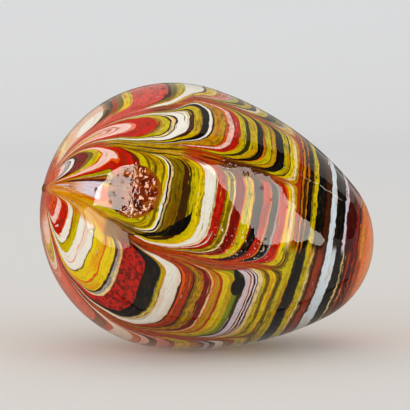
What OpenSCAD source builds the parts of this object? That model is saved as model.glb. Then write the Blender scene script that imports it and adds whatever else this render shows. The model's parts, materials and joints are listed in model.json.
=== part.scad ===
// Hot-worked glass egg, lying on its flank with the narrow end down.
// A clear gather carries an amber ground coat. Threads of coloured glass are wound over it from the
// blunt end to the narrow end, and strokes of a hook comb them into festoons that run together at
// the blunt pole. A clear casing is gathered over them, and the pontil rod leaves its scar there.
// The axis runs up from the blunt pole while the layers are made, and lying() lays the egg down.

/* [Egg] */
// Length along the axis, from the blunt pole to the narrow pole
egg_length = 110; // [100:1:125]
// Radius of the round blunt end, which is also half of the greatest width
blunt_radius = 42.8; // [38:0.1:46]
// Radius of the round narrow end
tip_radius = 27.9; // [22:0.1:33]
// Radius of the long flank arc that runs from one end to the other
flank_radius = 102.5; // [85:0.5:140]

/* [Layers] */
// Thickness of the clear casing over the trails
casing_thickness = 2.4; // [1:0.1:4]
// Depth of the coloured trails under the casing
trail_depth = 1.6; // [0.8:0.1:3]
// Thickness of the amber ground coat under the trails
ground_thickness = 0.8; // [0.4:0.1:2]

/* [Comb] */
// Polar angle at which the hook sets in, in degrees from the blunt pole
comb_start_angle = 113; // [100:1:125]
// Angle by which a stroke drags the glass on its own line, in degrees
comb_drag_angle = 51; // [30:1:54]
// Angle in which the drag fades on the steep side of a stroke
fade_after_angle = 2.2; // [1.5:0.1:6]
// Angle in which the drag fades on the gentle side of a stroke
fade_before_angle = 4.6; // [2:0.1:8]

/* [Amber window] */
// Half of the angle that the pool of amber glass takes up, seen from the egg's middle
window_spread_angle = 9.8; // [6:0.1:10]
// Polar angle of its middle, in degrees from the blunt pole
window_polar_angle = 46.5; // [45:0.5:47]

/* [Pontil scar] */
// Radius of the scar on the blunt pole
pontil_radius = 1.5; // [1:0.1:2.5]
// Height by which it stands proud of the pole
pontil_proud = 0.6; // [0.2:0.1:1]

/* [Hidden] */
$fn = 96;

// Azimuths of the comb strokes about the axis, in degrees. Zero faces down once the egg lies.
stroke_angles = [16, 63, 109, 156, 203, 238, 282, 330];
// Stations of a festoon's edge from one stroke to the next, close together where it turns
station_shares = [0, 0.02, 0.05, 0.1, 0.18, 0.35, 0.6, 0.78, 0.89, 0.96];
// Azimuth of the amber window, between the strokes at 238 and 282
window_azimuth_angle = 259;
// Polar angle on either side of the window's middle within which it can reach a trail's far edge
window_near_angle = 18;

// The trails in the order in which they are wound: name, colour, and the polar angle of the far edge
trails = [
    ["orange", "darkorange", 13],
    ["pink", "lightpink", 17],
    ["red", "firebrick", 21.5],
    ["white", "ivory", 26],
    ["lime", "yellowgreen", 29],
    ["white", "ivory", 36],
    ["yellow", "gold", 46],
    ["cream", "wheat", 49],
    ["red", "firebrick", 58],
    ["black", "black", 64],
    ["yellow", "gold", 66.5],
    ["white", "ivory", 72],
    ["red", "firebrick", 77],
    ["olive", "olive", 80.5],
    ["maroon", "maroon", 84],
    ["amber", "orange", 91],
    ["lime", "yellowgreen", 99],
    ["lilac", "thistle", 107],
    ["yellow", "gold", comb_start_angle],
    ["olive", "olive", comb_start_angle + 3],
    ["yellow", "gold", comb_start_angle + 6.5],
    ["black", "black", comb_start_angle + 11.5],
    ["lime", "yellowgreen", comb_start_angle + 15.5],
    ["russet", "brown", comb_start_angle + 21.5],
    ["white", "aliceblue", comb_start_angle + 27],
    ["black", "black", comb_start_angle + 31],
    ["grey", "lightgrey", comb_start_angle + 33],
    ["maroon", "maroon", comb_start_angle + 40.5],
    ["russet", "brown", comb_start_angle + 46]
];

// The egg's outline: a blunt arc, a flank arc and a tip arc, each tangent to the next
blunt_centre = blunt_radius;
tip_centre = egg_length - tip_radius;
flank_to_blunt = flank_radius - blunt_radius;
flank_to_tip = flank_radius - tip_radius;
flank_centre = (flank_to_blunt ^ 2 - flank_to_tip ^ 2 + tip_centre ^ 2 - blunt_centre ^ 2)
    / (2 * (tip_centre - blunt_centre));
flank_offset = sqrt(flank_to_blunt ^ 2 - (blunt_centre - flank_centre) ^ 2);
blunt_turn = atan2(blunt_centre - flank_centre, flank_offset);
tip_turn = atan2(tip_centre - flank_centre, flank_offset);
middle = egg_length / 2;
beyond = 2 * egg_length;
arc_bite_share = 0.00003;
arc_bite = arc_bite_share * flank_radius;

// Where the egg comes to rest: the flank's normal at the lowest point runs through the centre of mass
function outline_radius(z) =
    z < flank_centre + flank_radius * sin(blunt_turn) ?
        sqrt(max(0, blunt_radius ^ 2 - (z - blunt_centre) ^ 2)) :
    z > flank_centre + flank_radius * sin(tip_turn) ?
        sqrt(max(0, tip_radius ^ 2 - (z - tip_centre) ^ 2)) :
    sqrt(flank_radius ^ 2 - (z - flank_centre) ^ 2) - flank_offset;
function total(list) = list * [for (item = list) 1];
slice_count = 400;
slice_heights = [for (i = [0 : slice_count - 1]) egg_length * (i + 0.5) / slice_count];
slice_areas = [for (z = slice_heights) outline_radius(z) ^ 2];
mass_centre = (slice_heights * slice_areas) / total(slice_areas);
rest_tilt = atan2(mass_centre - flank_centre, flank_offset);
rest_height = flank_radius - flank_offset * cos(rest_tilt) + flank_centre * sin(rest_tilt);
rest_back = blunt_centre * cos(rest_tilt) - blunt_radius;
rest_front = tip_centre * cos(rest_tilt) + tip_radius;

// Depths of the layers' faces under the egg's surface
trail_top = casing_thickness;
trail_floor = trail_top + trail_depth;
ground_floor = trail_floor + ground_thickness;

// The pool's radius, from the distance to the trails' top along the polar angle of its middle
blunt_rise = middle - blunt_centre;
window_reach = blunt_rise * cos(window_polar_angle)
    + sqrt((blunt_radius - trail_top) ^ 2 - (blunt_rise * sin(window_polar_angle)) ^ 2);
window_radius = window_reach * sin(window_spread_angle);

// Polar angle that the scar takes up, and the width left to each tail where the tails run together
pole_angle = atan2(pontil_radius, middle - trail_floor);
tail_angle = 0.45;

function two_digits(n) = n < 10 ? str("0", n) : str(n);
function trail_name(i) = str("trail_", two_digits(i + 1), "_", trails[i][0]);

// An azimuth difference brought into the half turn on either side of a stroke
function turned(angle) = angle - 360 * round(angle / 360);

// Share of the full drag at an azimuth: one peak at each stroke, steep after it and gentle before it
function drag_share(azimuth) = max([
    for (stroke = stroke_angles)
        let (gap = turned(azimuth - stroke))
        exp(gap < 0 ? gap / fade_before_angle : -gap / fade_after_angle)
]);

// Polar angle to which the far edge of trail i is combed at an azimuth
function combed_edge(i, azimuth) =
    let (
        laid = trails[i][2],
        drag = comb_drag_angle * drag_share(azimuth),
        bend = drag / comb_start_angle ^ 2,
        combed = 2 * (laid - drag) / (1 + sqrt(1 - 4 * bend * (laid - drag)))
    )
    max(combed, pole_angle + (i + 1) * tail_angle);

stroke_count = len(stroke_angles);
station_angles = [
    for (i = [0 : stroke_count - 1])
        let (next = stroke_angles[(i + 1) % stroke_count] + (i == stroke_count - 1 ? 360 : 0))
        for (share = station_shares)
            stroke_angles[i] + share * (next - stroke_angles[i])
];

// A point seen from the egg's middle under a polar angle and an azimuth
function seen(polar, azimuth, distance) = [
    distance * sin(polar) * cos(azimuth),
    distance * sin(polar) * sin(azimuth),
    middle - distance * cos(polar)
];

// Half of the egg's outline, at a depth under its surface. Each end arc holds on its own side of the
// ray through its tangent point, and the flank arc cuts the tangent point off by a hair's breadth.
module half_outline(depth) {
    flank_middle = [-flank_offset, flank_centre];
    blunt_ray = flank_middle + beyond * [cos(blunt_turn), sin(blunt_turn)];
    tip_ray = flank_middle + beyond * [cos(tip_turn), sin(tip_turn)];
    intersection() {
        translate(flank_middle) circle(r = flank_radius - arc_bite - depth);
        union() {
            translate([0, blunt_centre]) circle(r = blunt_radius - depth);
            polygon([flank_middle, blunt_ray, [beyond, beyond], [-flank_offset, beyond]]);
        }
        union() {
            translate([0, tip_centre]) circle(r = tip_radius - depth);
            polygon([flank_middle, tip_ray, [beyond, -beyond], [-flank_offset, -beyond]]);
        }
        translate([0, -beyond]) square([beyond, 2 * beyond]);
    }
}

// A layer of glass from one depth to another
module layer(top, bottom) {
    rotate_extrude() difference() {
        half_outline(top);
        half_outline(bottom);
    }
}

// Everything on the blunt side of the far edge of trail i
module blunt_side(i) {
    if (trails[i][2] < comb_start_angle) combed_side(i);
    else plain_side(trails[i][2]);
}

module combed_side(i) {
    count = len(station_angles);
    rim = [for (azimuth = station_angles) seen(combed_edge(i, azimuth), azimuth, beyond)];
    fans = [
        for (j = [0 : count - 1])
            let (next = (j + 1) % count)
            each [[next, j, count], [j, next, count + 1]]
    ];
    polyhedron(points = concat(rim, [seen(0, 0, 0), seen(0, 0, beyond)]), faces = fans);
}

module plain_side(polar) {
    turn_shares = [1, 0.8, 0.6, 0.4, 0.2, 0];
    rim = [for (share = turn_shares) beyond * [sin(share * polar), -cos(share * polar)]];
    translate([0, 0, middle]) rotate_extrude() polygon(concat([[0, 0]], rim));
}

// The bore that the pontil scar fills and the seat that the amber window fills
module pontil_bore() {
    translate([0, 0, -egg_length]) cylinder(r = pontil_radius, h = egg_length + middle);
}

module window_seat() {
    translate([0, 0, middle])
        rotate([180 - window_polar_angle, 0, window_azimuth_angle + 90])
            cylinder(r = window_radius, h = beyond);
}

// Trails that the amber window cuts into
function meets_window(i) = abs(trails[i][2] - window_polar_angle) < window_near_angle;

module lying() {
    translate([-(rest_back + rest_front) / 2, 0, rest_height])
        rotate([0, 90 + rest_tilt, 0])
            children();
}

module core_gather() {
    color("lightcyan") lying() rotate_extrude() half_outline(ground_floor);
}

module ground_coat() {
    color("darkorange") lying() layer(trail_floor, ground_floor);
}

module trail(i) {
    color(trails[i][1]) lying() difference() {
        intersection() {
            layer(trail_top, trail_floor);
            blunt_side(i);
        }
        if (i > 0) blunt_side(i - 1);
        else pontil_bore();
        if (meets_window(i)) window_seat();
    }
}

module tip_cover() {
    color("coral") lying() difference() {
        layer(trail_top, trail_floor);
        blunt_side(len(trails) - 1);
    }
}

module amber_window() {
    color("chocolate") lying() intersection() {
        layer(trail_top, trail_floor);
        window_seat();
    }
}

module pontil_scar() {
    color("dimgray") lying() translate([0, 0, -pontil_proud])
        cylinder(r = pontil_radius, h = pontil_proud + trail_floor);
}

module clear_casing() {
    color("white", 0.25) lying() difference() {
        layer(0, casing_thickness);
        pontil_bore();
    }
}

core_gather();
ground_coat();
for (i = [0 : len(trails) - 1])
    trail(i);
tip_cover();
amber_window();
pontil_scar();
clear_casing();
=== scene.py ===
"""A hot-worked glass egg: trails of coloured glass combed into festoons under a clear casing."""

import json
import math

import bmesh
import bpy
from mathutils import Matrix, Vector

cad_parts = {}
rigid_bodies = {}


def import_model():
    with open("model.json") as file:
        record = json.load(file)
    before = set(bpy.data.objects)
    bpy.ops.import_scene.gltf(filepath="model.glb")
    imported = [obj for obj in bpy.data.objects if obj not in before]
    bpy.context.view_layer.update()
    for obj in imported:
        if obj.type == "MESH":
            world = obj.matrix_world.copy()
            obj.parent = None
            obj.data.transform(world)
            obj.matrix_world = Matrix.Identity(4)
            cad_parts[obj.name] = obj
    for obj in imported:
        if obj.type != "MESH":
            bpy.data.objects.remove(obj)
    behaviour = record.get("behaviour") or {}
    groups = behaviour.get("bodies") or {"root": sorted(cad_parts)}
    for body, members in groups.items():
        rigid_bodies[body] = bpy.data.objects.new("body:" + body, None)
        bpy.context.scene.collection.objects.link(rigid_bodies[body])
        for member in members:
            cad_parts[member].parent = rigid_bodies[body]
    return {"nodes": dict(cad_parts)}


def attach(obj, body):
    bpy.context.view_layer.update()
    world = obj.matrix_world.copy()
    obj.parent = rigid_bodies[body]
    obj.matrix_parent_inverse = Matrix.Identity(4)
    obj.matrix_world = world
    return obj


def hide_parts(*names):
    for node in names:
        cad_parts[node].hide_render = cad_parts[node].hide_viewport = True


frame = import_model()
for startup_object in [o for o in bpy.data.objects if o.name in ("Cube", "Light", "Camera")]:
    bpy.data.objects.remove(startup_object)
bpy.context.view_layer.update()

# The egg's outline and lie, as in the solids, in millimetres and degrees
MM = 0.001
EGG_LENGTH = 110.0
BLUNT_RADIUS = 42.8
TIP_RADIUS = 27.9
FLANK_RADIUS = 102.5
CASING = 2.4
TRAIL_DEPTH = 1.6
PONTIL_RADIUS = 1.5
PONTIL_PROUD = 0.6
WINDOW_POLAR = 46.5
WINDOW_AZIMUTH = 259.0
# The azimuth that faces the camera
VIEW_AZIMUTH = 266.7
TILT = math.radians(13.16903)
BLUNT_POLE = Vector((-53.3577, 0.0, 53.0733))
AXIS = Vector((math.cos(TILT), 0.0, -math.sin(TILT)))
DOWN = Vector((-math.sin(TILT), 0.0, -math.cos(TILT)))
SIDE = Vector((0.0, 1.0, 0.0))
MIDDLE = EGG_LENGTH / 2
EGG_MIDDLE = BLUNT_POLE + MIDDLE * AXIS

# The outline's three arcs: heights of their centres above the blunt pole, how far the flank's centre lies
# past the axis, and the directions in which the flank's arc meets the other two
BLUNT_CENTRE = BLUNT_RADIUS
TIP_CENTRE = EGG_LENGTH - TIP_RADIUS
TO_BLUNT = FLANK_RADIUS - BLUNT_RADIUS
TO_TIP = FLANK_RADIUS - TIP_RADIUS
CENTRES_APART = TIP_CENTRE - BLUNT_CENTRE
FLANK_CENTRE = (TO_BLUNT**2 - TO_TIP**2 + TIP_CENTRE**2 - BLUNT_CENTRE**2) / (2 * CENTRES_APART)
FLANK_OFFSET = math.sqrt(TO_BLUNT**2 - (BLUNT_CENTRE - FLANK_CENTRE) ** 2)
BLUNT_TURN = math.atan2(BLUNT_CENTRE - FLANK_CENTRE, FLANK_OFFSET)
TIP_TURN = math.atan2(TIP_CENTRE - FLANK_CENTRE, FLANK_OFFSET)

# The comb, in degrees: the polar angle where it sets in, how far it drags the glass on a stroke's line, the
# polar angle where that drag ends, and how steeply it fades past a line
COMB_START = 113.0
COMB_DRAG = 51.0
DRAG_END = 119.0
FADE_AFTER = 2.2
# The comb strokes: the azimuth of each, how gently its drag fades on its gentle side, and how it bends
# on its way to the blunt pole, as (from polar angle, to polar angle, by degrees)
STROKES = [
    (16, 4.2, [(55, 10, -15)]),
    (63, 3.6, [(55, 10, -15)]),
    (109, 4.4, [(55, 10, -15)]),
    (156, 3.4, [(55, 10, -12)]),
    (203, 3.2, [(69, 56, 9)]),
    (238, 3.4, [(80, 60, -1.5), (57, 10, -17)]),
    (282, 2.9, [(105, 85, 1.3), (60, 18, -14)]),
    (330, 3.8, [(75, 55, 2.5), (32, 4, -16)]),
]
# Places in that list of the stroke with salmon threads beside it and of the one above the window
SALMON_STROKE = 4
WINDOW_STROKE = 5
# The streaked core of each stroke's line: its middle off the line and half its width, in degrees
CORES = [(0, 2.2), (0, 2.2), (0, 2.2), (0, 2), (0, 2), (1.2, 3.6), (0.4, 2.4), (0, 2.4)]
# A short stroke that ends at the window: its azimuth, its gentle side, and where and how far its drag drops
SHORT_STROKE = VIEW_AZIMUTH - 12
SHORT_STROKE_FADE = 4.6
SHORT_STROKE_END = (36, 46)
SHORT_STROKE_DROP = 9


def seam(turn, flank):
    """Polar angle where the flank's arc, given its radius, meets the arc of one end."""
    out = flank * math.cos(turn) - FLANK_OFFSET
    return math.degrees(math.atan2(out, MIDDLE - FLANK_CENTRE - flank * math.sin(turn)))


def reach(polar, depth):
    """Distance from the egg's middle to the face at a depth under the surface, along a polar angle."""
    way = Vector((math.sin(math.radians(polar)), -math.cos(math.radians(polar))))
    flank = FLANK_RADIUS - depth
    if polar < seam(BLUNT_TURN, flank):
        centre, radius = Vector((0.0, BLUNT_CENTRE)), BLUNT_RADIUS - depth
    elif polar > seam(TIP_TURN, flank):
        centre, radius = Vector((0.0, TIP_CENTRE)), TIP_RADIUS - depth
    else:
        centre, radius = Vector((-FLANK_OFFSET, FLANK_CENTRE)), flank
    offset = Vector((0.0, MIDDLE)) - centre
    along = way.dot(offset)
    return math.sqrt(along**2 - offset.length_squared + radius**2) - along


def place(polar, azimuth, depth):
    """A point on the face at a depth, in metres in the row frame."""
    p, a = math.radians(polar), math.radians(azimuth)
    distance = reach(polar, depth)
    ring = math.cos(a) * DOWN + math.sin(a) * SIDE
    return MM * (EGG_MIDDLE + distance * (math.sin(p) * ring - math.cos(p) * AXIS))


# Shader maths


class Value:
    """A number that varies over the glass. Operators on it add Math nodes."""

    def __init__(self, bench, socket):
        self.bench = bench
        self.socket = socket

    def calculate(self, operation, *values):
        return self.bench.value("ShaderNodeMath", {"operation": operation}, dict(enumerate(values)))

    def __add__(self, other):
        return self.calculate("ADD", self, other)

    def __sub__(self, other):
        return self.calculate("SUBTRACT", self, other)

    def __rsub__(self, other):
        return self.calculate("SUBTRACT", other, self)

    def __mul__(self, other):
        return self.calculate("MULTIPLY", self, other)

    def __truediv__(self, other):
        return self.calculate("DIVIDE", self, other)

    def __rtruediv__(self, other):
        return self.calculate("DIVIDE", other, self)

    def __gt__(self, other):
        return self.calculate("GREATER_THAN", self, other)

    def __lt__(self, other):
        return self.calculate("LESS_THAN", self, other)

    __radd__ = __add__
    __rmul__ = __mul__

    def least(self, other):
        return self.calculate("MINIMUM", self, other)

    def most(self, other):
        return self.calculate("MAXIMUM", self, other)

    def size(self):
        return self.calculate("ABSOLUTE", self)

    def exp(self):
        return self.calculate("EXPONENT", self)

    def root(self):
        return self.calculate("SQRT", self)

    def turn(self, across):
        """The angle whose tangent is this value over another, in degrees."""
        return self.calculate("ARCTAN2", self, across) * math.degrees(1)

    def wrapped(self, low, high):
        return self.calculate("WRAP", self, high, low)

    def ramp(self, low, high):
        """0 below low, 1 above high and a soft step between them. Low may be the greater."""
        if low > high:
            return 1 - self.ramp(high, low)
        settings = {"interpolation_type": "SMOOTHSTEP"}
        return self.bench.value("ShaderNodeMapRange", settings, {0: self, 1: low, 2: high})

    def between(self, low, high, soft):
        """1 between low and high, with soft edges that reach as far to either side."""
        return self.ramp(low - soft, low + soft) * self.ramp(high + soft, high - soft)


class Bench:
    """The node tree of a new material, or of a new world."""

    def __init__(self, name, is_world=False):
        self.owner = (bpy.data.worlds if is_world else bpy.data.materials).new(name)
        self.output = "ShaderNodeOutputWorld" if is_world else "ShaderNodeOutputMaterial"
        self.owner.use_nodes = True
        self.tree = self.owner.node_tree
        self.tree.nodes.clear()

    def node(self, kind, settings=None, inputs=None):
        node = self.tree.nodes.new(kind)
        for key, value in (settings or {}).items():
            if key == "stops":
                self.set_stops(node.color_ramp, value)
            elif key == "ramp_interpolation":
                node.color_ramp.interpolation = value
            else:
                setattr(node, key, value)
        for key, value in (inputs or {}).items():
            socket = node.inputs[key]
            if isinstance(value, Value):
                value = value.socket
            if isinstance(value, bpy.types.NodeSocket):
                self.tree.links.new(value, socket)
            else:
                socket.default_value = value
        return node

    @staticmethod
    def set_stops(color_ramp, stops):
        while len(color_ramp.elements) > 1:
            color_ramp.elements.remove(color_ramp.elements[-1])
        for index, (position, colour) in enumerate(stops):
            stop = color_ramp.elements[0] if index == 0 else color_ramp.elements.new(position)
            stop.position = position
            stop.color = Bench.rgba(colour)

    @staticmethod
    def rgba(colour):
        """Four numbers, from a glass's name or from three. A link stays as it is."""
        if isinstance(colour, str):
            colour = GLASS[colour]
        return (*colour, 1.0) if isinstance(colour, tuple) else colour

    def value(self, kind, settings=None, inputs=None, output=0):
        return Value(self, self.node(kind, settings, inputs).outputs[output])

    def colour(self, factor, under, over, blend="MIX"):
        """One colour laid over another by a factor."""
        inputs = {0: factor, 6: self.rgba(under), 7: self.rgba(over)}
        return self.node("ShaderNodeMix", {"data_type": "RGBA", "blend_type": blend}, inputs).outputs[2]

    def shades(self, factor, stops, interpolation="LINEAR"):
        """The colour of a row of stops at a factor."""
        settings = {"stops": stops, "ramp_interpolation": interpolation}
        return self.node("ShaderNodeValToRGB", settings, {0: factor}).outputs[0]

    def here(self):
        """The point that is shaded, in the object's own coordinates."""
        return self.node("ShaderNodeTexCoord").outputs["Object"]

    def noise(self, point, scale, detail, roughness=0.5):
        inputs = {"Vector": point, "Scale": scale, "Detail": detail, "Roughness": roughness}
        return self.value("ShaderNodeTexNoise", {}, inputs)

    def threads(self, across, along, cut):
        """Noise drawn out into long threads. Their cut is how fine they are across, and along, and a seed."""
        fine, coarse, seed = cut
        drawn = self.node("ShaderNodeCombineXYZ", {}, {0: across * fine, 1: along * coarse, 2: seed})
        return self.noise(drawn.outputs[0], scale=1.0, detail=3.0, roughness=0.6)

    def body(self, colour, roughness):
        """A surface with no gloss of its own."""
        inputs = {"Base Color": colour, "Roughness": roughness, "Specular IOR Level": 0.0}
        return self.node("ShaderNodeBsdfPrincipled", {}, inputs)

    def let_light_by(self, shader, tint, bounced):
        """Glass that lets tinted light by to what lies behind it, and bounced light too if asked."""
        path = self.node("ShaderNodeLightPath")
        lets_by = Value(self, path.outputs["Is Shadow Ray"])
        if bounced:
            lets_by = lets_by.most(Value(self, path.outputs["Is Diffuse Ray"]))
        passing = self.node("ShaderNodeBsdfTransparent", {}, {"Color": self.rgba(tint)})
        return self.node("ShaderNodeMixShader", {}, {0: lets_by, 1: shader.outputs[0], 2: passing.outputs[0]})

    def finish(self, shader):
        self.node(self.output, {}, {"Surface": shader.outputs[0]})
        return self.owner


class Lie:
    """Where a point of the glass lies: its polar angle and azimuth in degrees, seen from the egg's middle,
    and how far round from the camera's side it lies, with down as the positive way."""

    def __init__(self, bench):
        self.bench = bench
        self.point = bench.here()
        from_middle = {0: self.point, 1: MM * EGG_MIDDLE}
        centred = bench.node("ShaderNodeVectorMath", {"operation": "SUBTRACT"}, from_middle).outputs[0]
        down, side, along = (
            bench.value("ShaderNodeVectorMath", {"operation": "DOT_PRODUCT"}, {0: centred, 1: way}, "Value")
            for way in (DOWN, SIDE, AXIS)
        )
        self.polar = (down * down + side * side).root().turn(along * -1)
        self.azimuth = side.turn(down).wrapped(0, 360)
        self.facing = (self.azimuth - VIEW_AZIMUTH).wrapped(-180, 180)

    def away(self, point):
        """Distance to a point, in metres."""
        inputs = {0: self.point, 1: point}
        return self.bench.value("ShaderNodeVectorMath", {"operation": "DISTANCE"}, inputs, "Value")


# The glasses


def linear(red, green, blue):
    """A colour as seen, 0 to 255 on the sRGB curve, in the light's own linear numbers."""
    return tuple(
        c / 255 / 12.92 if c <= 10.31 else ((c / 255 + 0.055) / 1.055) ** 2.4 for c in (red, green, blue)
    )


GLASS = {
    "red": linear(196, 28, 12),
    "deep red": linear(128, 14, 10),
    "rust red": linear(206, 52, 8),
    "maroon": linear(66, 10, 8),
    "orange": linear(226, 88, 10),
    "rust": linear(172, 52, 10),
    "russet": linear(150, 52, 22),
    "brown": linear(70, 30, 8),
    "dark brown": linear(62, 24, 6),
    "yellow": linear(229, 198, 6),
    "gold": linear(240, 170, 10),
    "honey": linear(226, 186, 20),
    "lime": linear(199, 179, 5),
    "mustard": linear(195, 144, 8),
    "green": linear(122, 140, 8),
    "olive": linear(126, 103, 5),
    "dark olive": linear(57, 45, 8),
    "shade": linear(110, 74, 34),
    "black": linear(14, 11, 12),
    "white": linear(234, 227, 211),
    "cream": linear(236, 207, 142),
    "pink white": linear(240, 196, 182),
    "pink": linear(234, 146, 132),
    "salmon": linear(214, 74, 66),
    "lilac": linear(214, 200, 210),
    "blue white": linear(212, 222, 228),
    "grey": linear(150, 150, 150),
    "amber": linear(214, 130, 8),
    "tan": linear(226, 160, 112),
    "peach": linear(250, 190, 140),
    "dull peach": linear(222, 150, 112),
    # Painted light, not a glass: the glow of light shining through the tip
    "tip peach": linear(252, 176, 118),
    # Painted light, not a glass: the warm glow painted on the underside
    "under glow": linear(250, 160, 110),
    # Painted light, not a glass: the glints of seeds and small bubbles
    "seed": linear(244, 214, 196),
    "window rim": linear(150, 84, 10),
    # Partly painted highlight: pale flakes that also stand in for glints of the broken reflection
    "window flake": linear(250, 190, 156),
    "pontil scar": linear(112, 70, 44),
    "core": linear(225, 228, 222),
    "ground coat": linear(190, 92, 16),
}

# What lies on each festoon, from the blunt pole to the comb's start: the polar angle of each band's
# far edge at the middle of the festoon, and its glass
FESTOONS = {
    "lower": [
        (5, "rust"), (9, "russet"), (13, "orange"), (14.6, "salmon"), (17.4, "pink white"), (21.4, "red"),
        (22, "orange"), (24.6, "white"), (25.2, "olive"), (28, "lime"), (31.2, "white"), (31.7, "pink"),
        (35.6, "white"), (36, "olive"), (41, "yellow"), (42, "orange"), (45.8, "yellow"), (46.8, "brown"),
        (47.8, "grey"), (49, "cream"), (58.2, "red"), (63.8, "black"), (64.4, "olive"), (66, "lime"),
        (71.9, "white"), (72.6, "brown"), (73.6, "orange"), (76.6, "rust"), (77.4, "brown"), (78.2, "olive"),
        (81.2, "mustard"), (84.4, "deep red"), (85.6, "cream"), (86.2, "orange"), (88.8, "mustard"),
        (90.2, "rust"), (92.6, "yellow"), (95.6, "lime"), (98.2, "green"), (100.2, "dark olive"),
        (103, "lilac"), (103.6, "brown"), (104.6, "pink white"), (105.4, "black"), (106.3, "lilac"),
        (107, "brown"), (109, "cream"), (111, "lime"), (113, "olive"),
    ],
    "window": [
        (6, "rust"), (12, "orange"), (19, "amber"), (34, "lilac"), (40, "orange"), (44, "amber"),
        (53, "lime"), (54, "olive"), (56, "lime"), (56.8, "olive"), (57.6, "yellow"), (58.4, "white"),
        (59, "black"), (59.6, "cream"), (60.2, "brown"), (64.2, "olive"), (66, "brown"), (66.8, "dark olive"),
        (69.6, "lime"), (72.2, "yellow"), (76.4, "white"), (77, "cream"), (81, "red"), (81.8, "olive"),
        (82.8, "lime"), (84.6, "olive"), (85.4, "cream"), (89.6, "deep red"), (90.4, "orange"),
        (92.6, "lime"), (94.6, "yellow"), (95.4, "deep red"), (99.4, "black"), (103, "red"), (104, "amber"),
        (107.4, "black"), (108.2, "grey"), (112, "red"), (113, "orange"),
    ],
    "upper": [
        (8, "rust"), (14, "salmon"), (20, "grey"), (24, "salmon"), (30, "rust"), (34, "lime"), (35.4, "pink"),
        (37, "white"), (38.2, "pink"), (39.6, "pink white"), (41, "pink"), (44.4, "pink white"), (46, "pink"),
        (53, "red"), (54, "olive"), (57.2, "lime"), (57.9, "black"), (59.3, "cream"), (60, "black"),
        (64.2, "white"), (66.2, "brown"), (69, "lime"), (69.6, "olive"), (72, "black"), (73.2, "white"),
        (74, "brown"), (78.8, "mustard"), (79.4, "brown"), (80.4, "orange"), (82.6, "pink white"),
        (85.8, "red"), (86.6, "yellow"), (89, "lime"), (91, "dark olive"), (95, "lime"), (98, "black"),
        (99.2, "amber"), (102, "lime"), (102.6, "olive"), (104.8, "mustard"), (109, "black"), (112, "lime"),
        (113, "black"),
    ],
    "top": [
        (8, "rust"), (13, "peach"), (20, "cream"), (34, "white"), (35, "olive"), (38, "dark olive"),
        (40, "rust"), (42, "olive"), (45, "yellow"), (58, "salmon"), (59.5, "black"), (62, "olive"),
        (65, "lime"), (73, "white"), (74, "brown"), (77, "yellow"), (78, "cream"), (80, "mustard"),
        (84.5, "pink"), (86, "grey"), (88, "lime"), (91, "dark olive"), (94.5, "lime"), (97, "black"),
        (99, "white"), (103, "lime"), (108, "black"), (111, "olive"), (113, "grey"),
    ],
    "bottom": [
        (5.5, "salmon"), (12, "peach"), (19, "pink white"), (25.5, "lime"), (28, "white"), (31.5, "pink"),
        (49.5, "salmon"), (54.5, "black"), (57, "red"), (64.6, "white"), (67, "amber"), (68, "red"),
        (71, "pink white"), (74.6, "brown"), (79.6, "pink"), (82, "rust"), (89, "yellow"), (93.4, "mustard"),
        (94.4, "olive"), (95.6, "black"), (98, "lilac"), (101, "black"), (105, "white"), (107, "olive"),
        (110, "rust"), (113, "lime"),
    ],
}
# Which festoon follows each stroke
ROUND = ["lower", "upper", "bottom", "top", "upper", "window", "lower", "bottom"]
# A ramp has 32 stops at most, so each festoon's bands are shared out over two, near this angle
FESTOON_SPLIT = 56
# What lies between the stroke above the window and the short one that ends at it: its bands, its sides
# as they lie round from the camera's, and the laid angle that it reaches to
HOOK = [
    (8, "rust"), (13, "salmon"), (16, "pink white"), (19, "grey"), (21, "white"), (22, "black"),
    (27.5, "deep red"), (29.5, "olive"), (32, "lime"), (33, "yellow"), (34.2, "orange"), (38.8, "pink white"),
    (40, "orange"), (45.4, "red"), (47.8, "deep red"), (51, "lime"), (53, "olive"), (60, "lime"),
]
HOOK_SIDES = (-60, -11.5)
HOOK_END = 52
# The rings past the comb's start, as they lie above and below the middle of the camera's side
RINGS_HIGH = [
    (114.8, "yellow"), (116.4, "cream"), (118, "mustard"), (119.8, "rust"), (120.6, "dark olive"),
    (121.6, "amber"), (123.4, "brown"), (124.2, "amber"), (126.4, "black"), (127.2, "olive"), (128.8, "lime"),
    (129.4, "yellow"), (134.4, "black"), (135.2, "maroon"), (138.2, "brown"), (141.4, "blue white"),
    (147, "black"), (148.6, "lilac"), (153.4, "maroon"), (155.4, "deep red"), (156.4, "maroon"),
    (157.6, "rust"), (160, "amber"), (180, "orange"),
]
RINGS_LOW = [
    (114.2, "yellow"), (115.4, "olive"), (116, "dark olive"), (117, "olive"), (121.2, "lime"),
    (122, "dark olive"), (126.2, "black"), (127, "dark olive"), (130.4, "lime"), (131.2, "cream"),
    (131.8, "olive"), (133.4, "brown"), (136.8, "russet"), (138.2, "brown"), (143.8, "blue white"),
    (148.4, "black"), (149.2, "cream"), (150, "dark olive"), (151.4, "maroon"), (152.6, "rust"),
    (154.4, "maroon"), (155, "rust"), (156.4, "maroon"), (157.6, "rust"), (159.4, "deep red"),
    (180, "orange"),
]
# The laid angle where their rows begin, how far they are shifted below, and the polar angles over which
# they turn more ragged
RINGS_START = COMB_START - 2
RINGS_SHIFT = 1.5
RINGS_BEGIN = (112, 126)
# Where the low side begins, and where it ends behind, as it lies round from the camera's side
LOW_SIDE_BEGINS = (-25, 30)
LOW_SIDE_ENDS = 150

# How far the bands waver, in degrees: slowly, in ripples, raggedly, how much more raggedly where they are
# plain rings, how far the stroke lines wander sideways, and how far fine threads fray the bands
DRIFT = 2.6
RIPPLE = 1.8
RAGGED = 0.6
RAGGED_RINGS = 1.2
WANDER = 3.5
FRAY = 1.6
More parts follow.
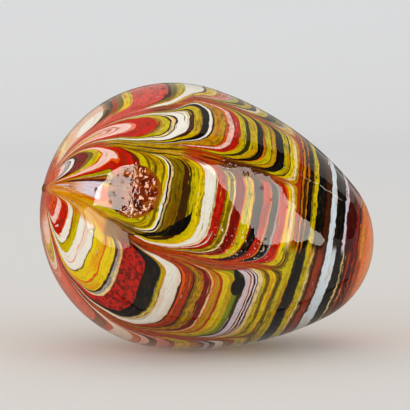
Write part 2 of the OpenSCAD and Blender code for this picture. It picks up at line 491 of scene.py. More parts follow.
# How ragged the edges of patches are, how far the ends of streaks fray, how far threads of other bands
# stray, and how far the borders of wide zones wander round the egg and along it, in degrees
RAGGED_NEAR = 0.8
RAGGED_SIDE = 1.2
LONG_FRAY = 14
STRAY = 26
ZONE_WANDER = 30
END_WANDER = 8
# Noises in the glass: grains to the metre, detail and roughness
DRIFT_NOISE = (45.0, 1.0)
RIPPLE_NOISE = (170.0, 2.0)
RAGGED_NOISE = (620.0, 2.0)
WANDER_NOISE = (90.0, 2.0)
CLOUD_NOISE = (200.0, 3.0, 0.6)
MOTTLE_NOISE = (700.0, 2.0, 0.6)
# The next noise places the painted glints of seeds
SEED_GLINT_NOISE = (1700.0, 1.0)
# Sets of threads along the bands, along the strokes and round the pole: how fine, how coarse, and a seed
FRAY_THREADS = (1.3, 0.05, 17.0)
BAND_THREADS = (0.8, 0.035, 5.0)
STRAY_THREADS = (1.3, 0.028, 21.0)
ASTRAY_THREADS = (0.3, 0.03, 23.0)
STAIN_THREADS = (0.4, 0.03, 29.0)
VEIN_THREADS = (0.42, 0.035, 11.0)
STROKE_THREADS = (1.1, 0.03, 3.0)
POLE_THREADS = (0.16, 0.04, 9.0)

# What runs together on a stroke's line, and round the blunt pole
STROKE_SHADES = [
    (0.0, "brown"), (0.38, "maroon"), (0.42, "orange"), (0.45, "deep red"), (0.48, "rust red"),
    (0.51, "deep red"), (0.54, "orange"), (0.57, "deep red"), (0.6, "mustard"), (0.64, "brown"), (0.7, "red"),
]
POLE_SHADES = [
    (0.0, "rust"), (0.4, "salmon"), (0.47, "red"), (0.52, "orange"), (0.58, "amber"), (0.66, "deep red"),
]

# Patches of glass, and patches where light is painted: the polar angles that each lies between and how soft
# its edges are, then how far round from the camera's side it lies and how soft those edges are, in degrees
GOLD_PATCH = (8, 30, 5), (-8, 9, 5)
HONEY_PATCH = (24, 45, 3), (5, 17, 3)
WINDOW_SHADE = (39, 50, 1.5), (8, 18.5, 1)
LILAC_LINE = (17, 37, 2), (-12.9, -11.3, 0.4)
LILAC_SPECK = (31.6, 32.6, 0.3), (-7.5, -4.2, 0.5)
PEACH_EDGE = (17, 35, 2), (-98, -58, 3)
# Where light is painted on the underside
PAINTED_UNDERSIDE_LIGHT = (14, 112, 6), (71, 112, 6)
BRIGHT_NEAR_PATCH = (24, 48, 2), (14, 62, 2)
BRIGHT_FAR_PATCH = (86, 98, 2), (14, 62, 2)
# Where glints of seeds are painted
SEED_GLINTS_BELOW = (80, 108, 3), (0, 13, 1.5)
SEED_GLINTS_ABOVE = (78, 96, 2), (-29, -23, 1)
# Round spots of glass, and two of painted shade: polar angle, how far round from the camera's side, and the
# two radii, in degrees
BLACK_DROP = (97.3, 26, 3.4, 5.0)
DROP_NECK = (94.8, 21, 1.5, 3.2)
WHITE_PETAL = (28.5, -67.5, 7.5, 9.5)
# Painted shade: dark spots under two pits of the casing
TOP_PIT_SHADES = [(56.8, -66, 1.3, 2.2), (56.4, -76, 1.1, 1.9)]
# Laid angles between which bands are mottled, and how soft their edges are
WIDE_RED_BAND = (49, 58.2, 0.4)
RUST_BANDS = (77, 84, 0.5)
# What murk and amber stains let through of the glass under them, and what trails let by to their shadow
MURK_TINT = (0.42, 0.36, 0.3)
STAIN_TINT = (0.95, 0.5, 0.26)
TRAIL_TINT = (0.93, 0.82, 0.66)


def bands(bench, laid, rows, first):
    """The colour at a laid angle, from rows that begin at an angle."""
    last = rows[-1][0]
    starts = [first] + [edge for edge, _ in rows[:-1]]
    stops = [((start - first) / (last - first), glass) for start, (_, glass) in zip(starts, rows)]
    return bench.shades((laid - first) / (last - first), stops, "CONSTANT")


def festoon(bench, laid, rows):
    """The colour of one festoon at a laid angle."""
    split = next(edge for edge, _ in rows if edge >= FESTOON_SPLIT)
    near = bands(bench, laid, [row for row in rows if row[0] <= split], 0)
    far = bands(bench, laid, [row for row in rows if row[0] > split], split)
    return bench.colour(laid > split, near, far)


class CombedGlass:
    """Opaque trails of many colours, combed towards the blunt pole. Each step lays glass, or painted light or
    shade, on the last.
    """

    def __init__(self):
        bench = Bench("combed_trails")
        lie = Lie(bench)
        self.bench = bench
        self.mix = bench.colour
        self.point = lie.point
        self.polar = lie.polar
        self.facing = lie.facing
        self.drift = bench.noise(lie.point, *DRIFT_NOISE) - 0.5
        self.ripple = bench.noise(lie.point, *RIPPLE_NOISE) - 0.5
        self.ragged = bench.noise(lie.point, *RAGGED_NOISE) - 0.5
        self.wander = bench.noise(lie.point, *WANDER_NOISE) - 0.5
        self.azimuth = lie.azimuth + self.wander * WANDER
        # The same place with ragged edges, for patches and spots
        self.near = self.polar + self.ragged * RAGGED_NEAR
        self.side = self.facing + self.ragged * RAGGED_SIDE
        self.follow_strokes()
        self.comb()
        self.thread = bench.threads(self.laid, self.past, BAND_THREADS)
        self.run = bench.threads(self.past, self.polar, STROKE_THREADS)
        self.frayed = self.polar + self.fray * LONG_FRAY
        self.colour = self.bands_at(self.laid)

    def lay(self, where, glass, cover=1.0, blend="MIX"):
        """Lays glass, or painted light or shade, on what is there, and covers that by a share."""
        self.colour = self.mix(where * cover, self.colour, glass, blend)

    def patch(self, polars, sides):
        return self.near.between(*polars) * self.side.between(*sides)

    def spot(self, near, where):
        """1 inside an ellipse."""
        polar, sideways, long_radius, wide_radius = where
        up, across = (near - polar) / long_radius, (self.side - sideways) / wide_radius
        return (up * up + across * across).ramp(1.15, 0.85)

    def follow_strokes(self):
        """Where each stroke's line runs, and how far past the first line a point lies."""
        lines = []
        for azimuth, _, bends in STROKES:
            line = 0
            for start, end, turn in bends:
                line = self.polar.ramp(start, end) * turn + line
            lines.append(line + azimuth)
        self.past = (self.azimuth - lines[0]).wrapped(0, 360)
        self.offsets = [line - lines[0] for line in lines]

    def past_stroke(self, offset):
        """How far past one stroke's line a point lies, up to half a turn either way."""
        return (self.past - offset).wrapped(-180, 180)

    def comb(self):
        """How far each point is dragged, and its laid angle: where its glass lay before the combing."""
        fan = None
        core = None
        for offset, (_, fade_before, _), (middle, half_width) in zip(self.offsets, STROKES, CORES):
            gap = self.past_stroke(offset)
            here = (gap / fade_before).least(gap / -FADE_AFTER)
            fan = here if fan is None else fan.most(here)
            within = 1 - (gap - middle).size() / half_width
            core = within if core is None else core.most(within)
        gap = (self.azimuth - SHORT_STROKE).wrapped(-180, 180)
        short_stroke = (gap / SHORT_STROKE_FADE).least(gap / -FADE_AFTER)
        short_stroke = short_stroke - self.polar.ramp(*SHORT_STROKE_END) * SHORT_STROKE_DROP
        self.core = core
        self.dragged = fan.most(short_stroke).exp()

        ragged = self.ragged * (RAGGED + self.polar.ramp(*RINGS_BEGIN) * RAGGED_RINGS)
        polar = self.polar + self.drift * DRIFT + self.ripple * RIPPLE + ragged
        laid = polar + COMB_DRAG * self.dragged * (1 - polar * polar / DRAG_END**2).most(0)
        self.fray = self.bench.threads(laid, self.past, FRAY_THREADS) - 0.5
        self.laid = laid + self.fray * FRAY

    def bands_at(self, at):
        """The colour of every festoon and ring at a laid angle."""
        looks = {name: festoon(self.bench, at, rows) for name, rows in FESTOONS.items()}
        in_hook = (self.facing < HOOK_SIDES[1]) * (self.facing > HOOK_SIDES[0]) * (at < HOOK_END)
        looks["window"] = self.mix(in_hook, looks["window"], bands(self.bench, at, HOOK, 0))
        colour = looks[ROUND[0]]
        for offset, name in zip(self.offsets[1:], ROUND[1:]):
            colour = self.mix(self.past > offset, colour, looks[name])
        low_side = (self.facing + self.wander * ZONE_WANDER).ramp(*LOW_SIDE_BEGINS)
        low_side = low_side * (self.facing.size() < LOW_SIDE_ENDS)
        shifted = at - low_side * RINGS_SHIFT
        rings = self.mix(
            low_side.ramp(0.35, 0.65),
            bands(self.bench, shifted, RINGS_HIGH, RINGS_START),
            bands(self.bench, shifted, RINGS_LOW, RINGS_START),
        )
        return self.mix(at > COMB_START, colour, rings)

    def lay_stray_threads(self):
        """Threads of other bands, which keep off black glass and the blunt pole."""
        astray = self.bench.threads(self.laid, self.past, ASTRAY_THREADS) - 0.5
        strayed = self.bands_at(self.laid + astray * STRAY)
        stray = self.bench.threads(self.laid, self.past, STRAY_THREADS).ramp(0.585, 0.625)
        red = self.bench.value("ShaderNodeSeparateColor", {}, {0: self.colour}, 0)
        self.lay(stray * (self.polar > 14) * red.ramp(0.01, 0.04), strayed, cover=0.85)

    def lay_stroke_lines(self):
        """The stroke lines themselves, where all colours run together. The one above the window turns mossy
        there, and dark brown further on."""
        run = self.run
        core_middle = self.offsets[WINDOW_STROKE] + CORES[WINDOW_STROKE][0]
        by_window = self.past_stroke(core_middle).size().ramp(5.5, 4)
        moss = self.mix(run.ramp(0.5, 0.56), "lime", "mustard")
        moss = self.mix(run.ramp(0.44, 0.52), "dark olive", moss)
        streak = self.bench.shades(run, STROKE_SHADES)
        streak = self.mix(by_window * self.frayed.between(34, 63, 2), streak, moss)
        streak = self.mix(by_window * self.frayed.between(78, 103, 2) * 0.9, streak, "dark brown")
        thin_out = self.polar.ramp(20, 60) * 0.55 + self.polar.ramp(90, 116) * -0.8
        on_line = (self.core + self.fray * 1.6 + thin_out).ramp(0.45, 0.75).most(self.dragged.ramp(0.6, 0.8))
        self.lay(on_line * self.polar.ramp(116, 108), streak, cover=0.92)

    def lay_salmon_threads(self):
        """Salmon threads that run beside one stroke into the blunt pole."""
        beside = self.past_stroke(self.offsets[SALMON_STROKE]).between(-6.5, 1.5, 1.2)
        rosy = self.mix(self.run.ramp(0.6, 0.66), "red", "pink")
        rosy = self.mix(self.run.ramp(0.44, 0.58), "salmon", rosy)
        self.lay(beside * self.frayed.between(15, 50, 3), rosy, cover=0.85)

    def lay_pole_threads(self):
        """Round the blunt pole everything is drawn out into threads, golden on the camera's side."""
        run = self.bench.threads(self.azimuth, self.polar, POLE_THREADS)
        gold_side = (self.facing + 4 + self.wander * ZONE_WANDER).size().ramp(22, 14)
        streak = self.mix(gold_side * 0.85, self.bench.shades(run, POLE_SHADES), "amber")
        self.lay((self.polar + self.wander * END_WANDER).ramp(14, 7), streak, cover=0.9)

    def lay_gold_and_honey(self):
        """Gold and honey between the blunt pole and the window, and a shade under the window."""
        gold = self.mix(self.run.ramp(0.5, 0.62), "gold", "rust")
        self.lay(self.patch(*GOLD_PATCH), gold, cover=0.9)
        slanting = (self.side - self.near * 0.35).between(-7, 5, 2)
        honey = self.mix(self.thread.ramp(0.45, 0.6), "honey", "orange")
        self.lay(self.patch(*HONEY_PATCH) * slanting, honey, cover=0.85)
        self.lay(self.patch(*WINDOW_SHADE), "shade", cover=0.75)

    def lay_lilac_petal(self):
        """A lilac petal that points from the window to the blunt pole, with a line over it and a speck."""
        near, side = self.near, self.side
        petal = (side + 11.5).ramp(-0.6, 0.6) * (side - (near - 18.5) / 3 + 5).ramp(0.7, -0.7)
        petal = petal * near.between(19, 34.4, 0.6)
        self.lay(petal, self.mix(near.ramp(29, 19), "lilac", "tan"))
        self.lay(self.patch(*LILAC_LINE), "maroon", cover=0.9)
        self.lay(self.patch(*LILAC_SPECK), "maroon", cover=0.8)

    def lay_black_marks(self):
        """A black petal past the window, and in the festoon below it a black drop with a neck."""
        near, side = self.near, self.side
        from_tip = side + 4
        middle = 69.5 - from_tip * 0.28 - from_tip * from_tip * 0.024 - (from_tip - 12).most(0) * 1.6
        half_width = from_tip.ramp(-1, 10) * 3.1 - from_tip.ramp(12, 18) * 2.6
        self.lay(((near - middle).size() < half_width) * side.between(-4.5, 14, 0.5), "black")
        neck = self.spot(near - (side - 20) * 0.4, DROP_NECK)
        self.lay(self.spot(near, BLACK_DROP).most(neck), "black")

    def lay_clouds_and_veins(self):
        """Murk, amber stains, veins and mottles. Pale glass and two bright patches keep cleaner."""
        bench, laid, past = self.bench, self.laid, self.past
        clean = bench.value("ShaderNodeSeparateColor", {}, {0: self.colour}, 2).ramp(0.2, 0.5)
        bright = self.patch(*BRIGHT_NEAR_PATCH) + self.patch(*BRIGHT_FAR_PATCH)
        soiled = (1 - clean * 0.8) * (1 - bright * 0.6)
        mottle = bench.noise(self.point, *MOTTLE_NOISE)
        cloud = bench.noise(self.point, *CLOUD_NOISE)
        murk = self.thread.ramp(0.5, 0.7) * 0.5 + mottle.ramp(0.5, 0.62) * 0.28 + cloud.ramp(0.5, 0.65) * 0.26
        self.lay(murk * soiled, MURK_TINT, blend="MULTIPLY")
        stain = bench.threads(laid, past, STAIN_THREADS).ramp(0.49, 0.6)
        self.lay(stain * (1 - clean * 0.5), STAIN_TINT, cover=0.75, blend="MULTIPLY")
        vein = (bench.threads(laid, past, VEIN_THREADS) - 0.5).size().ramp(0.016, 0.006)
        self.lay(vein * soiled, "dark olive", cover=0.7)
        wide_red = laid.between(*WIDE_RED_BAND) * (self.polar > 45) * self.side.between(14, 62, 1)
        mottled = wide_red * 0.7 + laid.between(*RUST_BANDS) * 0.28
        self.lay(mottle.ramp(0.46, 0.58) * mottled, "maroon")

    def lay_peach_edge(self):
        """Peach glass round a short white petal near the top of the blunt end, and painted shade in two pits
        of the casing by it.
        """
        around = self.patch(*PEACH_EDGE) * (1 - self.spot(self.near, WHITE_PETAL))
        self.lay(around, "dull peach", cover=0.65)
        # Painted shade in the two pits
        pits = [self.spot(self.near, where) for where in TOP_PIT_SHADES]
        self.lay(pits[0].most(pits[1]), "maroon", cover=0.8)

    def lay_painted_glows(self):
        """Painted light: a glow on the underside, where light comes up through the glass, and a paler orange
        glow painted on the tip, where light shines through it.
        """
        # Painted light: a warm glow laid on the underside
        self.lay(self.patch(*PAINTED_UNDERSIDE_LIGHT), "under glow", cover=0.3)
        # Painted light: the tip glows paler orange where light shines through it
        self.lay((self.polar + self.drift * END_WANDER).ramp(156, 171), "tip peach", cover=0.75)

    def lay_seed_glints(self):
        """Painted glints of seeds and small bubbles beside two of the strokes: bright specks that stand in
        for the light they catch.
        """
        # Painted highlights: bright specks where seeds and bubbles catch the light
        seed_glints = self.bench.noise(self.point, *SEED_GLINT_NOISE).ramp(0.67, 0.7)
        glinting = (self.patch(*SEED_GLINTS_BELOW) + self.patch(*SEED_GLINTS_ABOVE)).least(1)
        self.lay(seed_glints * glinting, "seed")


def combed_glass():
    """The trails' glass, which lets a little amber light by to its shadow."""
    glass = CombedGlass()
    glass.lay_stray_threads()
    glass.lay_stroke_lines()
    glass.lay_salmon_threads()
    glass.lay_pole_threads()
    glass.lay_gold_and_honey()
    glass.lay_lilac_petal()
    glass.lay_black_marks()
    glass.lay_clouds_and_veins()
    glass.lay_peach_edge()
    glass.lay_painted_glows()
    glass.lay_seed_glints()
    shader = glass.bench.body(glass.colour, roughness=0.5)
    return glass.bench.finish(glass.bench.let_light_by(shader, TRAIL_TINT, bounced=False))


WINDOW_SHADES = [
    (0.0, linear(44, 14, 4)), (0.4, linear(70, 18, 4)), (0.46, linear(128, 36, 6)), (0.52, linear(92, 30, 6)),
    (0.58, linear(176, 84, 14)), (0.64, linear(110, 60, 10)), (0.7, linear(48, 14, 4)),
]
WINDOW_CLOUD_NOISE = (330.0, 3.0, 0.6)
FLAKE_AND_GLINT_NOISE = (760.0, 2.0, 0.6)
# How far from the window's middle its rim and its flakes, which are partly painted glints, begin and end, in
# metres
RIM_AWAY = (0.0072, 0.0082)
RIM_WANDER = 0.006
FLAKES_AND_GLINTS_AWAY = (0.0076, 0.0069)


def window_look():
    """Deep amber-red glass with clouds, a bright rim where it thins out, and pale flakes in its far half,
    partly real flakes and partly painted glints where the pitted surface breaks up the reflection.
    """
    bench = Bench("amber_window_glass")
    lie = Lie(bench)
    away = lie.away(place(WINDOW_POLAR, WINDOW_AZIMUTH, CASING))
    cloud = bench.noise(lie.point, *WINDOW_CLOUD_NOISE)
    rim = (away + (cloud - 0.5) * RIM_WANDER).ramp(*RIM_AWAY)
    colour = bench.colour(rim, bench.shades(cloud, WINDOW_SHADES), "window rim")
    # Pale flakes, partly painted glints of the reflection that the pits break up
    flakes = bench.noise(lie.point, *FLAKE_AND_GLINT_NOISE).ramp(0.572, 0.6) * lie.polar.between(46.5, 55.5, 1.5)
    colour = bench.colour(flakes * away.ramp(*FLAKES_AND_GLINTS_AWAY), colour, "window flake")
    return bench.finish(bench.body(colour, roughness=0.3))


def plain_glass(name, glass, roughness=0.3):
    """Glass of one colour with faint clouds."""
    bench = Bench(name)
    cloud = bench.noise(bench.here(), scale=90.0, detail=3.0)
    tone = bench.colour(cloud.ramp(0.35, 0.7), glass, tuple(c * 0.8 for c in GLASS[glass]))
    return bench.finish(bench.body(tone, roughness))


# Pits in the casing: polar angle, azimuth and radius in millimetres
PITS = [
    (44.4, 251.2, 1.25), (40.2, 266.7, 0.6), (45.7, 268.2, 0.75), (32.9, 261.3, 0.45), (36.0, 284.9, 0.8),
    (97.4, 246.2, 0.7), (89.1, 242.2, 1.1), (83.7, 246.5, 0.6), (102.5, 250.3, 0.5), (111.8, 251.2, 0.45),
    (57.0, 191.5, 1.0), (54.1, 202.6, 0.9),
]
# The casing's relief: its height in metres, how strongly it shows, and how much each form adds to it
RELIEF = 0.0004
RELIEF_STRENGTH = 0.6
CRUST = 0.5
POCKS = 0.4
BOWLS = 1.2
# Grains to the metre of its swells, slow to quick, and of its crust and pocks
SWELL_SCALES = (30.0, 150.0, 420.0)
CRUST_SCALE = 950.0
POCK_SCALE = 480.0
# How far from the window's middle the crust and the pocks end, in metres
CRUST_AWAY = (0.0085, 0.0068)
POCKS_AWAY = (0.0105, 0.0085)
GLASS_IOR = 1.5


def swells(bench, lie):
    """Slow swells, with quicker ones past the window."""
    wavy = lie.polar.between(84, 138, 6) * lie.facing.between(-34, 8, 5) * 0.5 + 0.4
    slow, middling, quick = (bench.noise(lie.point, scale, detail=1.0) for scale in SWELL_SCALES)
    return slow * 0.5 + middling * wavy + quick * wavy * 0.15


def bowls(lie):
    """The larger pits, each a round bowl."""
    depth = None
    for polar, azimuth, radius in PITS:
        out = lie.away(place(polar, azimuth, 0)) / (MM * radius)
        bowl = (1 - out * out).most(0) * radius
        depth = bowl if depth is None else depth + bowl
    return depth


def casing_relief(bench):
    """The casing's swells and pits, the crust over the window, and pocks there and beside two strokes."""
    lie = Lie(bench)
    away = lie.away(place(WINDOW_POLAR + 2, WINDOW_AZIMUTH, 0))
    crusted = away.ramp(*CRUST_AWAY) * lie.polar.ramp(44.5, 47.5)
    crust = (bench.noise(lie.point, CRUST_SCALE, detail=1.0) - 0.5) * crusted
    below = lie.polar.between(76, 108, 5) * lie.facing.between(1, 14, 2)
    above = lie.polar.between(80, 98, 3) * lie.facing.between(-30, -23, 1)
    pocked = (away.ramp(*POCKS_AWAY) + (below + above)).least(1)
    cells = bench.value("ShaderNodeTexVoronoi", {}, {"Vector": lie.point, "Scale": POCK_SCALE})
    pocks = cells.ramp(0.22, 0.08) * pocked
    return swells(bench, lie) + crust * CRUST - pocks * POCKS - bowls(lie) * BOWLS


def casing_glass():
    """Clear, fire-polished glass, which lets lamps and bounced light through."""
    bench = Bench("clear_casing_glass")
    relief = {"Strength": RELIEF_STRENGTH, "Distance": RELIEF, "Height": casing_relief(bench)}
    clear = bench.node(
        "ShaderNodeBsdfPrincipled",
        {},
        {
            "Base Color": (1.0, 1.0, 1.0, 1.0),
            "Roughness": 0.0,
            "IOR": GLASS_IOR,
            "Transmission Weight": 1.0,
            "Normal": bench.node("ShaderNodeBump", {}, relief).outputs[0],
        },
    )
    return bench.finish(bench.let_light_by(clear, (1.0, 1.0, 1.0), bounced=True))


# Pieces

# How near a lathe's points are merged, in millimetres, and the angle past which an edge is sharp
MERGE = 0.0005
SHARP = math.radians(40)


def line_of_edges(work, points):
    """Corners at points, and the edges that join each to the next."""
    corners = [work.verts.new(point) for point in points]
    return corners, [work.edges.new(pair) for pair in zip(corners, corners[1:])]


def finished(work, name, material, smooth):
    """The object that a bmesh makes."""
    mesh = bpy.data.meshes.new(name)
    work.to_mesh(mesh)
    work.free()
    mesh.materials.append(material)
    for face in mesh.polygons:
        face.use_smooth = smooth
    piece = bpy.data.objects.new(name, mesh)
    bpy.context.scene.collection.objects.link(piece)
    return piece


def lathe(name, outline, steps, material):
    """A piece turned about the egg's axis. Its points are (radius, height above the blunt pole) in mm."""
    work = bmesh.new()
    corners, edges = line_of_edges(work, [(radius, 0.0, height) for radius, height in outline])
    bmesh.ops.spin(
        work,
        geom=corners + edges,
        cent=(0, 0, 0),
        axis=(0, 0, 1),
        dvec=(0, 0, 0),
        angle=2 * math.pi,
        steps=steps,
        use_merge=True,
        use_duplicate=False,
    )
    bmesh.ops.remove_doubles(work, verts=work.verts, dist=MERGE)
    lean = Matrix((DOWN, SIDE, AXIS)).transposed().to_4x4()
    matrix = Matrix.Scale(MM, 4) @ Matrix.Translation(BLUNT_POLE) @ lean
    bmesh.ops.transform(work, matrix=matrix, verts=work.verts)
    bmesh.ops.recalc_face_normals(work, faces=work.faces)
    piece = finished(work, name, material, smooth=True)
    piece.data.set_sharp_from_angle(angle=SHARP)
    return piece


def face_outline(start, end, count, depth):
    """Points of the face at a depth, from one polar angle to another."""
    points = []
    for index in range(count + 1):
        polar = start + (end - start) * index / count
        p = math.radians(polar)
        distance = reach(polar, depth)
        radius = distance * math.sin(p) if 0 < polar < 180 else 0.0
        points.append((radius, MIDDLE - distance * math.cos(p)))
    return points


def bore_edge(depth):
    """Polar angle of the edge of the pontil scar's bore, on the face at a depth."""
    return math.degrees(math.asin(PONTIL_RADIUS / reach(0, depth)))


CASING_STEPS = 256
CASING_RINGS = 150
# The casing reaches this far into the trails, so that no air shows between them
CASING_LAP = 0.25
CASING_FLOOR = CASING + CASING_LAP
casing_outside = face_outline(180, bore_edge(0), CASING_RINGS, 0)
casing_inside = face_outline(bore_edge(CASING_FLOOR), 180, CASING_RINGS, CASING_FLOOR)
casing = lathe("clear_casing_gather", casing_outside + casing_inside, CASING_STEPS, casing_glass())
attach(casing, "root")
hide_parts("clear_casing")
casing.visible_shadow = False

SCAR_STEPS = 64
SCAR_FLOOR = CASING + TRAIL_DEPTH
# From the middle of the scar's floor, out along its wall and over its rounded rim into the hollow there
scar_outline = [
    (0, SCAR_FLOOR), (PONTIL_RADIUS, SCAR_FLOOR), (PONTIL_RADIUS, 0.15), (1.4, -0.1), (1.25, -0.3),
    (1.1, -0.48), (0.85, -0.58), (0.6, -PONTIL_PROUD), (0.4, -0.5), (0.2, -0.38), (0, -0.34),
]
scar_look = plain_glass("pontil_scar_glass", "pontil scar", roughness=0.35)
scar = lathe("pontil_scar_nub", scar_outline, SCAR_STEPS, scar_look)
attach(scar, "root")
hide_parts("pontil_scar")

trail_glass = combed_glass()
looks = {
    "tip_cover": trail_glass,
    "amber_window": window_look(),
    "core_gather": plain_glass("core_glass", "core"),
    "ground_coat": plain_glass("ground_coat_glass", "ground coat"),
}
for name, node in frame["nodes"].items():
    look = trail_glass if name.startswith("trail_") else looks.get(name)
    if look is None:
        continue
    for slot in node.material_slots:
        slot.material = look
    if name in ("ground_coat", "core_gather"):
        node.visible_shadow = False

# Floor, light and camera

# The floor and wall, in metres: the floor's front edge, where it bends up, the bend's radius and steps,
# the wall's top and half the width
FLOOR_FRONT = -2.4
BEND_START = 0.9
BEND_RADIUS = 0.5
BEND_STEPS = 24
WALL_TOP = 2.2
HALF_WIDTH = 1.7
PAPER_IN_FRONT = linear(215, 211, 205)
PAPER_BEHIND = linear(214, 213, 212)
PAPER_ON_WALL = linear(211, 211, 211)
SOFTBOX_DISTANCE = 7.0
CARD_TINT = (1.0, 0.93, 0.82, 1.0)
# The room's even light: its colour, how bright it is, and how bright gloss sees it
ROOM_COLOUR = (0.95, 0.97, 1.0, 1.0)
ROOM_LEVEL = 0.73
ROOM_LEVEL_IN_GLOSS = 0.03
# Where the camera stands, seen from the egg's middle, in degrees and metres
CAMERA_AZIMUTH = -12.0
CAMERA_ELEVATION = 6.0
CAMERA_DISTANCE = 0.680
# The focal length, the photo's width, and where in the photo the egg's middle falls, in its pixels
FOCAL_PIXELS = 2100.0
IMAGE_PIXELS = 410.0
EGG_ACROSS = 208.9
EGG_DOWN = 223.4


def paper():
    """White paper that is a little warmer where it lies in front, and a little darker up the wall."""
    bench = Bench("floor_paper")
    away = bench.value("ShaderNodeSeparateXYZ", {}, {0: bench.here()}, 1)
    tone = bench.colour(away.ramp(0.1, 0.9), PAPER_IN_FRONT, PAPER_BEHIND)
    tone = bench.colour(away.ramp(0.95, 1.4), tone, PAPER_ON_WALL)
    return bench.finish(bench.body(tone, roughness=0.6))


def sweep():
    """The pale floor, which curves up into the wall behind."""
    work = bmesh.new()
    line = [(FLOOR_FRONT, 0.0), (0.0, 0.0), (BEND_START, 0.0)]
    for index in range(1, BEND_STEPS + 1):
        turn = math.pi / 2 * index / BEND_STEPS
        line.append((BEND_START + BEND_RADIUS * math.sin(turn), BEND_RADIUS * (1 - math.cos(turn))))
    line.append((BEND_START + BEND_RADIUS, WALL_TOP))
    _, edges = line_of_edges(work, [(-HALF_WIDTH, y, z) for y, z in line])
    made = bmesh.ops.extrude_edge_only(work, edges=edges)
    moved = [item for item in made["geom"] if isinstance(item, bmesh.types.BMVert)]
    bmesh.ops.translate(work, verts=moved, vec=(2 * HALF_WIDTH, 0, 0))
    bmesh.ops.recalc_face_normals(work, faces=work.faces)
    floor = finished(work, "floor_sweep", paper(), smooth=True)
    floor.visible_glossy = False


def aim(obj):
    """Turns an object so that it looks at the egg's middle along its own -Z."""
    way = MM * EGG_MIDDLE - obj.location
    obj.rotation_euler = way.to_track_quat("-Z", "Y").to_euler()


def towards(azimuth, elevation, distance):
    """A point seen from the egg's middle. Azimuth 0 is the camera's side and 90 the right."""
    a, e = math.radians(azimuth), math.radians(elevation)
    way = Vector((math.sin(a) * math.cos(e), -math.cos(a) * math.cos(e), math.sin(e)))
    return MM * EGG_MIDDLE + distance * way


def lamp(name, where, size, radiance):
    """A square lamp that faces the egg. The camera, gloss and what looks through glass don't see it."""
    data = bpy.data.lights.new(name, "AREA")
    data.shape = "SQUARE"
    data.size = size
    data.energy = radiance * math.pi * size**2
    obj = bpy.data.objects.new(name, data)
    bpy.context.scene.collection.objects.link(obj)
    obj.location = where
    aim(obj)
    obj.visible_camera = False
    obj.visible_glossy = False
    obj.visible_transmission = False


def card(name, centre, distance, strength, rim, is_open=False):
    """What gloss mirrors: a lit sheet that fans out from its centre's direction to its rim's directions."""
    bench = Bench(name + "_light")
    lit = bench.finish(bench.node("ShaderNodeEmission", {}, {"Color": CARD_TINT, "Strength": strength}))
    work = bmesh.new()
    corners = [work.verts.new(towards(azimuth, elevation, distance)) for azimuth, elevation in rim]
    middle = work.verts.new(towards(*centre, distance))
    following = corners[1:] if is_open else corners[1:] + corners[:1]
    for one, other in zip(corners, following):
        work.faces.new((middle, one, other))
    obj = finished(work, name, lit, smooth=False)
    obj.visible_camera = False
    obj.visible_diffuse = False
    obj.visible_transmission = False
    obj.visible_volume_scatter = False
    obj.visible_shadow = False


def room():
    """Even light from all round, which gloss hardly sees."""
    bench = Bench("room", is_world=True)
    in_gloss = bench.value("ShaderNodeLightPath", {}, {}, "Is Glossy Ray")
    level = in_gloss * (ROOM_LEVEL_IN_GLOSS - ROOM_LEVEL) + ROOM_LEVEL
    bpy.context.scene.world = bench.finish(
        bench.node("ShaderNodeBackground", {}, {"Color": ROOM_COLOUR, "Strength": level})
    )


def camera():
    """The photo's own view."""
    data = bpy.data.cameras.new("camera")
    data.sensor_width = 36.0
    data.lens = FOCAL_PIXELS / IMAGE_PIXELS * data.sensor_width
    data.clip_start = 0.01
    data.clip_end = 20.0
    data.shift_x = (IMAGE_PIXELS / 2 - EGG_ACROSS) / IMAGE_PIXELS
    data.shift_y = (EGG_DOWN - IMAGE_PIXELS / 2) / IMAGE_PIXELS
    obj = bpy.data.objects.new("camera", data)
    bpy.context.scene.collection.objects.link(obj)
    obj.location = towards(CAMERA_AZIMUTH, CAMERA_ELEVATION, CAMERA_DISTANCE)
    aim(obj)
    bpy.context.scene.camera = obj


sweep()
lamp("overhead_panel", (0.0, 0.1, 1.5), size=1.8, radiance=0.3)
lamp("right_softbox", towards(50, 17, SOFTBOX_DISTANCE), size=4.1, radiance=2.9)
lamp("left_softbox", towards(-60, 20, SOFTBOX_DISTANCE), size=3.9, radiance=2.8)
lamp("left_back_softbox", towards(-98, 16, SOFTBOX_DISTANCE), size=3.7, radiance=2.6)
card("right_softbox_face", centre=(52, 12), distance=1.3, strength=5.5, rim=[
    (22, 46.4), (36, 43.6), (47, 40.1), (59.3, 38.1), (64.5, 34.9), (67.5, 29.5), (64.9, 22.8), (65.8, 19.3),
    (65.6, 15.7), (63.9, 11.3), (66.2, 8.6), (67.8, 6.4), (67.2, 2.6), (68.9, 0.4), (70.4, -1.8),
    (71.6, -3.4), (73.4, -6.3), (70.6, -7.2), (68.4, -8), (66.2, -7), (63.1, -8.6), (58.5, -9.3), (53, -10.8),
    (43.1, -15.4), (38.5, -6.6), (36, 4.9), (34.7, 12.9), (35.1, 24.4), (30.5, 34.3),
])
card("left_softbox_upper_face", centre=(-63, 24), distance=1.3, strength=9.5, rim=[
    (-78.4, 33.1), (-68.9, 41), (-56, 45.5), (-50, 38), (-50, 28), (-47, 20), (-45, 8), (-44.7, 3.5),
    (-48.9, 6.9), (-70.7, 8.5), (-82.6, 8.7), (-82.8, 21.6), (-77.3, 28),
])
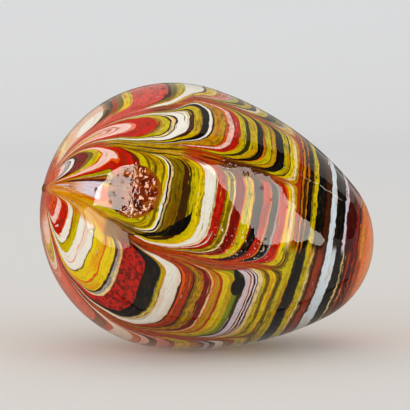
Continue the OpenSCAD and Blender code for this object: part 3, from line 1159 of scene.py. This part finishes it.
card("left_softbox_lower_face", centre=(-70, -8), distance=1.3, strength=3.6, rim=[
    (-90.5, 4.5), (-86.8, 7.3), (-77, 4.5), (-63.2, -1.1), (-48.9, -9.5), (-47.9, -18.7), (-56.9, -20.8),
    (-65.5, -19.4), (-78, -14.2), (-88.6, -4.3),
])
card("ceiling_face", centre=(150, 89), distance=1.5, strength=0.52, rim=[
    (63, 69), (70, 63), (93, 50), (99, 44.5), (103, 39.5), (106, 34), (107.5, 29), (113, 20), (115, 15),
    (140, 12), (180, 12), (220, 12), (250, 25), (262, 50), (300, 75),
])
card("floor_front_face", centre=(0, -89), distance=1.5, strength=0.36, is_open=True, rim=[
    (-90, -20), (-75, -18), (-60, -17), (-30, -23), (0, -27), (30, -23), (54, -15), (68, -11), (77, -4.7),
    (83, -3.5), (90.5, -1), (97, 5.4),
])
card("floor_back_face", centre=(180, -88), distance=1.5, strength=0.24, is_open=True, rim=[
    (97, 5.4), (107, 11), (115, 15), (140, 12), (180, 12), (218, 12), (222, -20), (250, -25), (270, -20),
])
card("paper_right_face", centre=(146, -8), distance=1.4, strength=0.8, rim=[
    (122, 12), (150, 13), (165, 13), (166, 2), (164, -6), (160, -14), (152, -24), (140, -27), (128, -27),
    (122, -14), (120, -4),
])
card("paper_left_face", centre=(-157, 0), distance=1.4, strength=0.6, rim=[
    (-170, 24), (-150, 24), (-142, 12), (-142, -10), (-146, -22), (-158, -24), (-172, -24), (-172, -12),
    (-172, 4),
])
card("paper_below_face", centre=(-168, -30), distance=1.4, strength=0.5, rim=[
    (172, -24), (172, -48), (-175, -50), (-160, -45), (-148, -24), (-158, -24), (-172, -24), (-180, -22),
])
card("ceiling_seam", centre=(95.5, 30.1), distance=1.2, strength=3.0, rim=[
    (85.7, 39.3), (92.9, 33), (97.9, 26.9), (102.5, 21.4), (106.3, 17.6), (106.1, 17.4), (102.3, 21.1),
    (97.7, 26.6), (92.7, 32.7), (85.5, 39),
])
room()
camera()

bpy.context.scene.view_settings.view_transform = "Standard"
